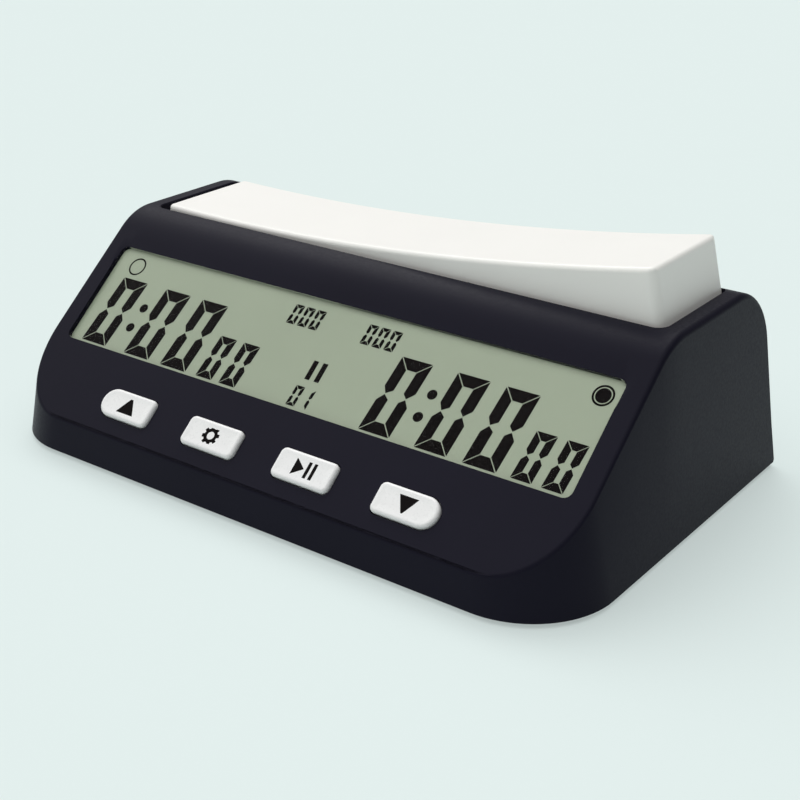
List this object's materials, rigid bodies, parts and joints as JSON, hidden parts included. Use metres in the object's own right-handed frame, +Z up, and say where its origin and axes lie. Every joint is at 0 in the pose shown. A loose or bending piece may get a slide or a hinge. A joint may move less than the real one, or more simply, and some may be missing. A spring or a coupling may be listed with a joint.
{
  "type": "chess clock",
  "caption": "Digital chess clock with a sloped dark case, a white rocker bar that tilts to switch players, a wide display, push keys and a battery bay underneath.",
  "frame": {"origin": "centre of the overall box in X and Y, at the underside of the rubber feet", "axes": "+X to the right seen from the players' display side, +Y to the back, +Z up"},
  "size_m": [0.155, 0.0936, 0.0564],
  "materials": {
    "case_shell": "satin moulded, very dark navy black",
    "base_shell": "fine matt texture",
    "rocker_white": "smooth, lightly glossy warm white",
    "key_white": "smooth white",
    "lens_clear": "clear acrylic",
    "display_grey": "grey-green reflective display with dark segments",
    "frame_white": "moulded",
    "board_green": "green solder mask",
    "steel": "zinc plated",
    "spring_steel": "nickel plated",
    "bracket_grey": "moulded",
    "rubber_black": "soft",
    "pad_grey": "conductive silicone",
    "mat_grey": "silicone",
    "epoxy_black": "cast epoxy",
    "part_black": "moulded",
    "capacitor_sleeve": "printed sleeve",
    "plunger_red": "moulded",
    "zebra_pink": "layered elastomer",
    "cell_blue": "printed sleeve on a steel can",
    "wire_red": "insulated lead",
    "wire_black": "insulated lead",
    "wire_yellow": "insulated lead",
    "ribbon_grey": "flat cable"
  },
  "bodies": {
    "case": {"upper_case": "case_shell", "base_cover": "base_shell", "pivot_bushings": "part_black", "rocker_pin": "steel", "rocker_bracket": "bracket_grey", "rocker_stops": "rubber_black", "switch_board": "board_green", "board_screws": "steel", "tact_switches": "part_black", "main_pcb": "board_green", "pcb_screws": "steel", "mcu_blob": "epoxy_black", "crystal": "steel", "capacitors": "capacitor_sleeve", "lcd_lens": "lens_clear", "lcd_panel": "display_grey", "lcd_frame": "frame_white", "zebra_strip": "zebra_pink", "button_mat": "mat_grey", "piezo_buzzer": "part_black", "battery_aa": "cell_blue", "battery_spring": "spring_steel", "battery_contact_positive": "spring_steel", "case_screws": "steel", "bracket_screws": "steel", "rubber_feet": "rubber_black", "power_switch_body": "steel", "lead_red": "wire_red", "lead_black": "wire_black", "lead_buzzer": "wire_yellow", "ribbon_cable": "ribbon_grey"},
    "rocker": {"rocker": "rocker_white"},
    "plunger_left": {"switch_plunger_left": "plunger_red"},
    "plunger_right": {"switch_plunger_right": "plunger_red"},
    "key_up": {"button_up": "key_white", "pad_up": "pad_grey"},
    "key_settings": {"button_settings": "key_white", "pad_settings": "pad_grey"},
    "key_play_pause": {"button_play_pause": "key_white", "pad_play_pause": "pad_grey"},
    "key_down": {"button_down": "key_white", "pad_down": "pad_grey"},
    "power_knob": {"power_switch_knob": "key_white"},
    "battery_door": {"battery_door": "base_shell"}
  },
  "joints": [
    {"name": "rocker_tilt", "type": "hinge", "parent": "case", "child": "rocker", "pos_m": [0, 0.01667, 0.0415], "axis": [0, 1, 0], "range_deg": [0, 9.2]},
    {"name": "plunger_left_slide", "type": "slide", "parent": "case", "child": "plunger_left", "axis": [0, 0, 1], "range_m": [0, 0.00193]},
    {"name": "plunger_right_slide", "type": "slide", "parent": "case", "child": "plunger_right", "axis": [0, 0, -1], "range_m": [0, 0.00193]},
    {"name": "key_up_press", "type": "slide", "parent": "case", "child": "key_up", "axis": [0, 0.6428, -0.766], "range_m": [0, 0.0009], "stiffness_N_per_m": 800, "springref_m": -0.0005},
    {"name": "key_settings_press", "type": "slide", "parent": "case", "child": "key_settings", "axis": [0, 0.6428, -0.766], "range_m": [0, 0.0009], "stiffness_N_per_m": 800, "springref_m": -0.0005},
    {"name": "key_play_pause_press", "type": "slide", "parent": "case", "child": "key_play_pause", "axis": [0, 0.6428, -0.766], "range_m": [0, 0.0009], "stiffness_N_per_m": 800, "springref_m": -0.0005},
    {"name": "key_down_press", "type": "slide", "parent": "case", "child": "key_down", "axis": [0, 0.6428, -0.766], "range_m": [0, 0.0009], "stiffness_N_per_m": 800, "springref_m": -0.0005},
    {"name": "power_slide", "type": "slide", "parent": "case", "child": "power_knob", "axis": [1, 0, 0], "range_m": [0, 0.0025]},
    {"name": "door_swing", "type": "hinge", "parent": "case", "child": "battery_door", "pos_m": [0, 0.00757, 0.0019], "axis": [-1, 0, 0], "range_deg": [0, 90]}
  ],
  "couplings": [
    {"joint": "plunger_left_slide", "follows": "rocker_tilt", "m_per_rad": 0.011987},
    {"joint": "plunger_right_slide", "follows": "rocker_tilt", "m_per_rad": 0.011987}
  ]
}
